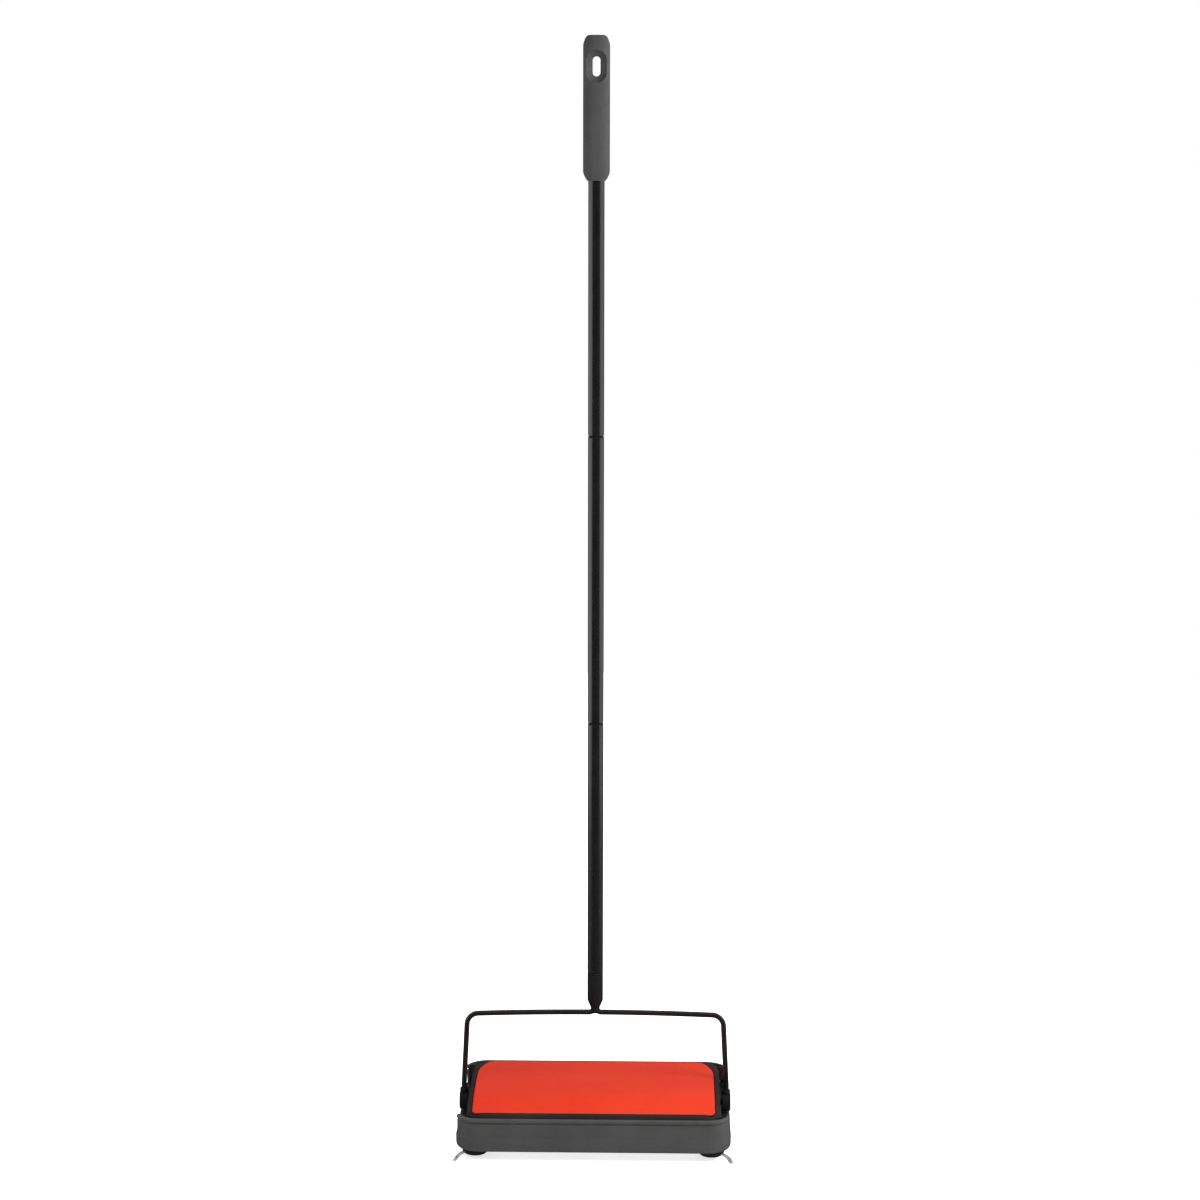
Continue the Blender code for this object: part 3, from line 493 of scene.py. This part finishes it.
def build_base_frame():
    """What the shell carries inside: recess walls and floors, end plates, ribs, webs and screw bosses."""
    wall_foot, wall_y = 19 * MM, RECESS_Y + 2 * MM
    plate_x, plate_y = (106 * MM, 108 * MM), 90 * MM
    rib_at, rib_x, rib_z = 61.8 * MM, (107 * MM, 126.5 * MM), (16 * MM, 30 * MM)
    web_x, web_y, web_z = (107 * MM, 128.5 * MM), (68 * MM, 87 * MM), (20 * MM, 22 * MM)
    boss_x = 117 * MM
    boss = [(1.9, 30), (4.6, 30), (5.0, 29.6), (5.0, 16.4), (4.6, 16), (3.8, 16), (3.8, 24), (1.9, 24)]
    boss = [(radius * MM, z * MM) for radius, z in boss]
    bm = bmesh.new()
    for sign in SIDES.values():
        inner, outer = sign * (RECESS_X - 3 * MM), sign * (BASE_HIGH.x - 3.4 * MM)
        rounded_box_into(bm, (sign * RECESS_X, -wall_y, wall_foot), (inner, wall_y, SHELF - 0.1 * MM))
        rounded_box_into(bm, (inner, -wall_y, RECESS_FLOOR - 3 * MM), (outer, wall_y, RECESS_FLOOR))
        plate_low = (sign * plate_x[0], -plate_y, 10.5 * MM)
        rounded_box_into(bm, plate_low, (sign * plate_x[1], plate_y, SHELF - 1.6 * MM))
        for way in ENDS.values():
            end_high = (outer, way * (RECESS_Y + 2.5 * MM), BASE_HIGH.z - 1.0 * MM)
            rounded_box_into(bm, (inner, way * RECESS_Y, wall_foot), end_high)
            rib_y = way * rib_at
            rib_high = (sign * rib_x[1], rib_y + MM, rib_z[1])
            rounded_box_into(bm, (sign * rib_x[0], rib_y - MM, rib_z[0]), rib_high, 0.2 * MM)
            web_high = (sign * web_x[1], way * web_y[1], web_z[1])
            rounded_box_into(bm, (sign * web_x[0], way * web_y[0], web_z[0]), web_high, 0.2 * MM)
            lathe(bm, boss, Matrix.Translation((sign * boss_x, rib_y, 0)), 32)
    # The chassis' near-black colour paints the shade inside the side recesses.
    put_in_scene("base_frame", mesh_of("base_frame", bm), CHASSIS_PAINTED_SHADE, "head", "charcoal_plastic")


def panel_plan(grown):
    """The panel's outline, grown outwards. Its rear corners are drawn in further than its front ones."""
    front, rear = PANEL_CORNER + grown, [half_axis + grown for half_axis in PANEL_REAR_CORNER]
    return outline(PANEL_HIGH.x + grown, grown - PANEL_LOW.y, PANEL_HIGH.y + grown, (front, front), rear)


def build_cover():
    """The dark frame round the panel: its walls, round shoulder, bezel and the pocket under the panel."""
    foot, bezel_steps = COVER_LOW.z, 8

    def plan(inset):
        return round_plan(COVER_HIGH.x - inset, COVER_HIGH.y - inset, COVER_CORNER - inset)

    def add_ring(outer, rise):
        rings.append(at_height(outer, above_roof(rise * MM, foot)))

    shoulder = [(0.0, -6.4), (0.12, -5.2), (0.45, -4.0), (0.95, -2.9), (1.6, -2.0), (2.4, -1.25)]
    shoulder += [(3.3, -0.7), (4.2, -0.3), (5.2, 0.0)]
    rings = [at_height(plan(WALL), foot), at_height(plan(0.4 * MM), foot)]
    rings.append(at_height(plan(0.0), foot + 0.4 * MM))
    for inset, rise in shoulder:
        add_ring(plan(inset * MM), rise)
    edge, pocket = plan(5.2 * MM), panel_plan(0.8 * MM)
    for k in range(1, bezel_steps + 1):
        share = k / bezel_steps
        mixed = [(a[0] + (b[0] - a[0]) * share, a[1] + (b[1] - a[1]) * share) for a, b in zip(edge, pocket)]
        add_ring(mixed, 0.05)
    add_ring(panel_plan(0.5 * MM), -0.25)
    add_ring(panel_plan(0.45 * MM), -2.6)
    bm = bmesh.new()
    fill_across(bm, join_rings(bm, rings)[-1])
    ceiling = at_height(plan(WALL), above_roof(-4.8 * MM, foot))
    fill_across(bm, join_rings(bm, [at_height(plan(WALL), foot), ceiling])[-1])
    bmesh.ops.remove_doubles(bm, verts=bm.verts, dist=1e-6)
    mesh = mesh_of("cover_shell", bm)
    put_in_scene("cover_shell", mesh, FRAME_BLACK_RED_REFLECTION, "head", "black_plastic", "cover_frame")


def build_panel():
    """The red panel: a plate with a rounded edge that stands a little proud of its pocket."""
    proud, edge, edge_steps = 0.7 * MM, 1.7 * MM, 6
    steps = [(0.0, -2.0 * MM), (0.0, proud - edge)]
    for k in range(1, edge_steps + 1):
        turn = math.radians(90 * k / edge_steps)
        steps.append((edge * (1 - math.cos(turn)), proud - edge + edge * math.sin(turn)))
    steps.append((2.6 * MM, proud))
    bm = bmesh.new()
    loops = join_rings(bm, [at_height(panel_plan(-inset), above_roof(rise)) for inset, rise in steps])
    fill_across(bm, loops[0])
    fill_across(bm, loops[-1])
    plate = mesh_of("red_panel", bm)
    put_in_scene("red_panel", plate, RED, "head", "red_plastic", "top_panel", even=False)


# ---------------------------------------------------------------- wheels, brush and whisks
def build_tyre(side, end):
    """A rubber ring with rounded shoulders and five grooves round its tread."""
    node = f"tyre_{side}_{end}"
    low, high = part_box(node)
    centre, radius, half = (low + high) / 2, (high.z - low.z) / 2, (high.x - low.x) / 2
    pitch, groove_half, mouth_half, depth = half * 0.34, 0.35 * MM, 0.75 * MM, 0.5 * MM
    inner, shoulder, round_off = radius - 3.2 * MM, radius - 1.4 * MM, 0.4 * MM
    profile = [(inner, half), (shoulder, half), (radius - round_off, half - round_off)]
    for k in (-2, -1, 0, 1, 2):
        at = -k * pitch
        profile += [(radius, at + mouth_half), (radius - depth, at + groove_half)]
        profile += [(radius - depth, at - groove_half), (radius, at - mouth_half)]
    profile += [(radius - round_off, round_off - half), (shoulder, -half), (inner, -half)]
    bm = bmesh.new()
    lathe(bm, profile, along_x(*centre), 72)
    body = f"{side}_{end}_wheel"
    put_in_scene(f"ribbed_{node}", mesh_of(node, bm), RUBBER, body, "rubber", node, smooth_deg=50)


def bristle_into(bm, points, radius, sides):
    """One strand: a thin tapering tube along the points."""
    turns = [math.tau * i / sides for i in range(sides)]
    rings = []
    for k, point in enumerate(points):
        before, after = points[max(k - 1, 0)], points[min(k + 1, len(points) - 1)]
        run = (after - before).normalized()
        side = run.orthogonal().normalized()
        other = run.cross(side)
        width = radius * (1.0 - 0.25 * k / (len(points) - 1))
        rings.append([point + (side * math.cos(turn) + other * math.sin(turn)) * width for turn in turns])
    join_rings(bm, rings, cap=True)


def build_brush_rows():
    """Tufts of nylon in four helical rows, each strand bent a little its own way."""
    chance = random.Random(11)
    low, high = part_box("brush_core")
    axis_z, core, tip = (low.z + high.z) / 2, (high.z - low.z) / 2, 25 * MM
    row_half, tufts, ring_strands, tuft_radius = 103 * MM, 46, 12, 1.25 * MM
    root = core - 0.4 * MM
    for row in range(4):
        bm = bmesh.new()
        for tuft in range(tufts):
            share = (tuft + 0.5) / tufts
            angle = math.tau * row / 4 + math.pi * share
            x = row_half * (2 * share - 1)
            for strand in range(ring_strands + 1):
                turn = math.tau * strand / ring_strands
                spread = 0.0 if strand == ring_strands else tuft_radius
                lean = chance.uniform(-0.07, 0.07)
                aside = spread * math.cos(turn)
                swing = angle + spread * math.sin(turn) / core
                reach = tip - chance.uniform(0.0, 0.8) * MM
                points = []
                for along in (0.0, 1 / 3, 2 / 3, 1.0):
                    radius = root + (reach - root) * along
                    at = swing + lean * along * along
                    flare = aside * (1 + 0.9 * along)
                    points.append(Vector((x + flare, radius * math.cos(at), axis_z + radius * math.sin(at))))
                bristle_into(bm, points, 0.20 * MM, 3)
        name = f"bristle_row_{row + 1}"
        mesh = mesh_of(name, bm)
        put_in_scene(f"tufts_{row + 1}", mesh, DARK_BRISTLE, "brush_roll", "bristle", name, even=False)


def build_whisk(side, end):
    """A corner tuft of pale strands that fan out and bend down to the floor."""
    chance = random.Random(f"{side}{end}")
    node = f"whisk_{side}_{end}"
    mirror = Vector((SIDES[side], ENDS[end]))
    corner = Vector((BASE_HIGH.x - BASE_CORNER, BASE_HIGH.y - BASE_CORNER, 0))
    out = Vector((1, 1, 0)).normalized()
    across = Vector((-1, 1, 0)).normalized()
    strands, steps, root_half, tip_half, lowest = 84, 6, 1.6 * MM, 2.6 * MM, 0.5 * MM
    bm = bmesh.new()
    for _ in range(strands):
        root = chance.uniform(-1, 1)
        layer = chance.uniform(-1, 1)
        fan = root * tip_half + chance.gauss(0, 0.35 * MM)
        length = chance.uniform(0.86, 1.0)
        points = []
        for k in range(steps + 1):
            along = k / steps * length
            reach = 21.0 * MM + 14.6 * MM * along
            height = (7.6 + 0.8 * layer) * MM + (1.2 * along - 8.0 * along**2.1) * MM
            wide = root * root_half + (fan - root * root_half) * along
            place = corner + out * reach + across * wide
            points.append(Vector((mirror.x * place.x, mirror.y * place.y, max(height, lowest))))
        bristle_into(bm, points, 0.13 * MM, 4)
    mesh = mesh_of(node, bm)
    put_in_scene(f"strands_{side}_{end}", mesh, PALE_BRISTLE, "head", "pale_bristle", node, even=False)


# ---------------------------------------------------------------- bail, socket and pole
def build_bail():
    """The bail: one bent wire, with a small hump where the pole's nose clips over it."""
    low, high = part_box("bail")
    wire = (high.y - low.y) / 2
    leg_top, bend, straight_top = LEG_X - 3.3 * MM, 12 * MM, 50 * MM
    hump, rise, hump_steps = 6 * MM, 1.8 * MM, 12
    crown, bar_z, bar_steps = 2.2 * MM, high.z - wire - rise, 14
    bar_end, span = bar_z - crown, leg_top - bend
    half = [(LEG_X, low.z), (LEG_X, straight_top)]
    half += arc(span, bar_end - bend, bend, 0, 90, 20)
    for k in range(bar_steps - 1, 0, -1):
        share = k / bar_steps
        half.append((span * share, bar_z - crown * share**2))
    for k in range(hump_steps, 0, -1):
        share = k / hump_steps
        half.append((hump * share, bar_z + rise * (1 + math.cos(math.pi * share)) / 2))
    route = half + [(0.0, bar_z + rise)] + [(-x, z) for x, z in reversed(half)]
    curve = bpy.data.curves.new("bail", "CURVE")
    curve.dimensions = "3D"
    curve.bevel_depth = wire
    curve.bevel_resolution = 8
    curve.use_fill_caps = True
    spline = curve.splines.new("POLY")
    spline.points.add(len(route) - 1)
    for point, (x, z) in zip(spline.points, route):
        point.co = (x, 0, z, 1)
    put_in_scene("bent_bail", curve, WIRE_GREY, "handle", "grey_enamel", "bail")


def build_hub(side):
    """The knuckle at a foot of the bail: a turned barrel with a raised ring, and a collared neck above it."""
    node, sign = f"bail_hub_{side}", SIDES[side]
    half, radius, edge = 4.5 * MM, 9.3 * MM, 1.2 * MM
    pin, pin_end = 3.2 * MM, -11.8 * MM
    outer = [(0.0, half - edge), (3.0 * MM, half - edge), (3.4 * MM, half - 0.6 * MM)]
    outer += [(5.6 * MM, half - 0.4 * MM), (6.0 * MM, half)]
    outer += arc(radius - edge, half - edge, edge, 90, 0, 5)
    outer += arc(radius - edge, edge - half, edge, 0, -90, 5)
    outer += [(pin, -half), (pin, pin_end + 0.3 * MM), (pin - 0.3 * MM, pin_end), (0.0, pin_end)]
    place = along_x(sign * LEG_X, 0, PIVOT_Z)
    if sign < 0:
        place = place @ Matrix.Rotation(math.pi, 4, "X")
    bm = bmesh.new()
    lathe(bm, outer, place, 56, closed=False)
    neck = [(3.25, 46), (3.9, 46), (4.3, 45.6), (4.3, 43.5), (4.0, 43.0), (4.0, 36), (3.25, 36)]
    neck = [(across * MM, z * MM) for across, z in neck]
    lathe(bm, neck, Matrix.Translation((sign * LEG_X, 0, 0)), 40)
    put_in_scene(f"knuckle_{side}", mesh_of(node, bm), HUB_BLACK, "handle", "black_plastic", node)


def build_socket():
    """The fitting under the pole: as wide as the tube, drawn in to a nose that clips over the bail."""
    low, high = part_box("pole_socket")
    wide, groove, spigot, nose, seam = 8.0 * MM, 7.75 * MM, 6.8 * MM, 4.7 * MM, 170.2 * MM
    profile = [(0.0, low.z), (nose - 0.7 * MM, low.z), (nose - 0.15 * MM, low.z + 0.3 * MM)]
    profile += [(nose, low.z + 0.9 * MM), (nose, 133.0 * MM), (5.0 * MM, 133.9 * MM)]
    profile += [(7.6 * MM, 139.8 * MM), (7.9 * MM, 140.8 * MM), (wide, 142.0 * MM), (wide, 143.0 * MM)]
    profile += [(wide, seam - 3.6 * MM), (wide, seam - 2.6 * MM), (groove, seam - 2.3 * MM)]
    profile += [(groove, seam - 1.7 * MM), (wide, seam - 1.4 * MM), (wide, seam - 0.3 * MM)]
    profile += [(7.7 * MM, seam), (spigot, seam), (spigot, high.z), (0.0, high.z)]
    bm = bmesh.new()
    lathe(bm, profile, UPRIGHT, 64, closed=False)
    mesh = mesh_of("pole_socket", bm)
    put_in_scene("tapered_socket", mesh, HUB_BLACK, "handle", "black_plastic", "pole_socket")


def build_tube(node):
    """A tube with rolled-in ends."""
    low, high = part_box(node)
    radius, bore, lip = (high.x - low.x) / 2, 7.1 * MM, 0.45 * MM
    ends = [(radius - lip * (1 - math.cos(a)), lip * (1 - math.sin(a))) for a in (0, 0.4, 0.8, 1.2, 1.57)]
    outer = [(r, low.z + inset) for r, inset in reversed(ends)]
    outer += [(radius, low.z + 1.2 * MM), (radius, high.z - 1.2 * MM)]
    outer += [(r, high.z - inset) for r, inset in ends]
    outer += [(bore, high.z), (bore, low.z)]
    bm = bmesh.new()
    lathe(bm, outer, UPRIGHT, 64)
    put_in_scene(f"enamelled_{node}", mesh_of(node, bm), POLE_BLACK, "handle", "black_enamel", node)


# ---------------------------------------------------------------- grip
def grip_ring(half_x, half_y, z):
    """A level ring between an ellipse and a rectangle, which leaves soft facets."""
    count, square = 96, 0.8
    ring = []
    for k in range(count):
        angle = math.tau * (k + 0.5) / count
        c, s = math.cos(angle), math.sin(angle)
        x, y = math.copysign(abs(c) ** square, c), math.copysign(abs(s) ** square, s)
        ring.append(Vector((half_x * x, half_y * y, z)))
    return ring


def slot_ring(grown, y):
    """An upright ring with straight sides and round ends, the slot's own outline grown outwards."""
    slot_z, slot_wide, slot_high = 1080.6 * MM, 7.8 * MM, 19.2 * MM
    straight = (slot_high - slot_wide) / 2
    upper = arc(0, slot_z + straight, slot_wide / 2 + grown, 0, 180, 20)
    lower = arc(0, slot_z - straight, slot_wide / 2 + grown, 180, 360, 20)
    return [Vector((x, y, z)) for x, z in upper + lower]


def build_grip():
    """The moulded grip: soft facets, chamfered ends, a dished hanging slot and the bore for the tube."""
    low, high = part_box("grip")
    middle_steps, bore_radius, bore_top = 24, 8.3 * MM, 1009.9 * MM
    foot = [(0.0, 4.6), (0.3, 4.0), (1.2, 3.3), (2.6, 2.4), (4.5, 1.4), (6.5, 0.5), (8.5, 0.1), (9.5, 0.0)]
    head = [(10.2, 0.0), (9.2, 0.1), (7.4, 0.55), (5.6, 1.1), (3.8, 1.8), (2.2, 2.6), (1.1, 3.5)]
    head += [(0.4, 4.5), (0.1, 5.4), (0.0, 6.4)]
    levels = [(low.z + rise * MM, inset * MM) for rise, inset in foot]
    start, end = low.z + foot[-1][0] * MM, high.z - head[0][0] * MM
    levels += [(start + (end - start) * k / middle_steps, 0.0) for k in range(1, middle_steps)]
    levels += [(high.z - drop * MM, inset * MM) for drop, inset in head]
    bm = bmesh.new()
    join_rings(bm, [grip_ring(high.x - inset, high.y - inset * 0.6, z) for z, inset in levels], cap=True)
    grip = put_in_scene("moulded_grip", mesh_of("grip", bm), GRIP_GREY, "handle", "black_plastic", "grip")

    steps = [(-12.5, 6.4), (-7.9, 6.1), (-7.3, 5.5), (-7.0, 4.8), (-6.4, 2.4), (-5.6, 0.7), (-4.8, 0.0)]
    steps += [(-y, grown) for y, grown in reversed(steps)]
    bm = bmesh.new()
    join_rings(bm, [slot_ring(grown * MM, y * MM) for y, grown in steps], cap=True)
    dish = new_object("cut_slot", mesh_of("cut_slot", bm))
    under = low.z - 5 * MM
    bm = bmesh.new()
    bore = [(0.0, under), (bore_radius, under), (bore_radius, bore_top), (0.0, bore_top)]
    lathe(bm, bore, UPRIGHT, 64, closed=False)
    cut_away(grip, [dish, new_object("cut_bore", mesh_of("cut_bore", bm))], 28)


# ---------------------------------------------------------------- stage, lights and camera
def build_stage():
    """A pale round floor that doesn't show in reflections."""
    bm = bmesh.new()
    bmesh.ops.create_circle(bm, cap_ends=True, segments=96, radius=2.5)
    mesh = mesh_of("floor", bm)
    mesh.materials.append(pale_floor())
    floor = new_object("floor", mesh)
    floor.visible_glossy = False


def add_light(name, kind, energy, place, target, **settings):
    light = bpy.data.lights.new(name, kind)
    light.energy = energy
    for key, value in settings.items():
        setattr(light, key, value)
    made = new_object(name, light)
    made.location = place
    made.rotation_mode = "QUATERNION"
    made.rotation_quaternion = (Vector(target) - Vector(place)).to_track_quat("-Z", "Y")
    return made


def build_world():
    """White to the camera, a tent that dims towards the front for diffuse rays, and dark in reflections."""
    world = bpy.data.worlds.new("studio")
    bpy.context.scene.world = world
    world.use_nodes = True
    tree = world.node_tree
    nodes, links = tree.nodes, tree.links
    nodes.remove(nodes["Background"])
    coords = nodes.new("ShaderNodeTexCoord")
    apart = nodes.new("ShaderNodeSeparateXYZ")
    links.new(coords.outputs["Generated"], apart.inputs["Vector"])
    path = nodes.new("ShaderNodeLightPath")

    def white(strength=None):
        shade = nodes.new("ShaderNodeBackground")
        shade.inputs["Color"].default_value = WHITE
        if strength is not None:
            links.new(strength, shade.inputs["Strength"])
        return shade.outputs["Background"]

    def tent(along_y, along_z):
        total = nodes.new("ShaderNodeMath")
        total.operation = "ADD"
        links.new(map_range(tree, apart.outputs["Y"], *along_y), total.inputs[0])
        links.new(map_range(tree, apart.outputs["Z"], *along_z), total.inputs[1])
        return white(total.outputs["Value"])

    def either(switch, first, second):
        mix = nodes.new("ShaderNodeMixShader")
        links.new(path.outputs[switch], mix.inputs["Fac"])
        links.new(first, mix.inputs[1])
        links.new(second, mix.inputs[2])
        return mix.outputs["Shader"]

    diffuse = tent((-0.9, 0.2, 0.20, 0.62), (0.1, 1.0, 0.0, 0.45))
    mirrored = tent((-1.0, -0.2, 0.04, 0.12), (0.15, 1.0, 0.0, 0.35))
    whole = either("Is Camera Ray", either("Is Glossy Ray", diffuse, mirrored), white())
    links.new(whole, nodes["World Output"].inputs["Surface"])


def build_lights():
    """A wide soft sun, a fill from the right, and a tall box at each side that shows only in reflections."""
    key = add_light("key", "SUN", 1.25, (0.5, -0.9, 4.0), (0, 0, 0), angle=math.radians(75))
    key.visible_glossy = False
    tall = {"shape": "RECTANGLE", "size": 3.0, "size_y": 2.6}
    for name, energy, x in (("left_box", 21.0, -2.2), ("right_box", 17.0, 2.2)):
        box = add_light(name, "AREA", energy, (x, 0.1, 1.1), (0, 0.1, 1.1), **tall)
        box.visible_diffuse = False
    small = {"shape": "RECTANGLE", "size": 0.8, "size_y": 1.2}
    fill = add_light("right_fill", "AREA", 42.0, (1.5, -0.7, 1.5), (0, 0, 1.0), **small)
    fill.visible_glossy = False


def build_camera():
    """Three metres off, a little above the middle of the pole, and rolled by a tenth of a degree."""
    distance, elevation = 3.0, math.radians(9.5)
    aim, azimuth, roll = Vector((0.0042, 0, 0.5552)), math.radians(1.2), math.radians(0.1)
    back = Vector((math.sin(azimuth), -math.cos(azimuth), 0)) * math.cos(elevation)
    back.z = math.sin(elevation)
    data = bpy.data.cameras.new("camera")
    data.lens = 90.0
    data.sensor_width = 36.0
    camera = new_object("camera", data)
    camera.location = aim + back * distance
    camera.rotation_mode = "QUATERNION"
    level = (-back).to_track_quat("-Z", "Y")
    camera.rotation_quaternion = level @ Quaternion((0, 0, 1), roll)
    bpy.context.scene.camera = camera


# ---------------------------------------------------------------- everything
def carry_over():
    """The CAD nodes that stay as they are, with better materials."""
    for side in SIDES:
        soften(f"drive_pulley_{side}", HUB_BLACK)
        soften(f"spindle_bush_{side}", INNER_GREY)
        soften(f"hub_clip_{side}", STEEL, 0.15 * MM)
        for end in ENDS:
            soften(f"wheel_{side}_{end}", INNER_GREY)
            soften(f"wheel_axle_{side}_{end}", STEEL)
            soften(f"cover_screw_{side}_{end}", STEEL, 0.2 * MM)
            soften(f"whisk_foot_{side}_{end}", HUB_BLACK, 0.8 * MM)
    for end in ENDS:
        soften(f"{end}_dust_pan", INNER_GREY)
        soften(f"{end}_pan_spring", STEEL, 0.05 * MM)
    soften("brush_core", INNER_GREY)
    soften("brush_spindle", STEEL)
    for node in ("lower_coupling", "middle_coupling"):
        soften(node, HUB_BLACK, 0.2 * MM)


def build():
    build_bumper()
    build_base_frame()
    build_cover()
    build_panel()
    build_brush_rows()
    build_bail()
    for side in SIDES:
        build_hub(side)
        for end in ENDS:
            build_tyre(side, end)
            build_whisk(side, end)
    build_socket()
    for node in ("lower_tube", "middle_tube", "upper_tube"):
        build_tube(node)
    build_grip()
    carry_over()
    build_stage()
    build_world()
    build_lights()
    build_camera()
    bpy.context.scene.view_settings.view_transform = "Standard"


build()
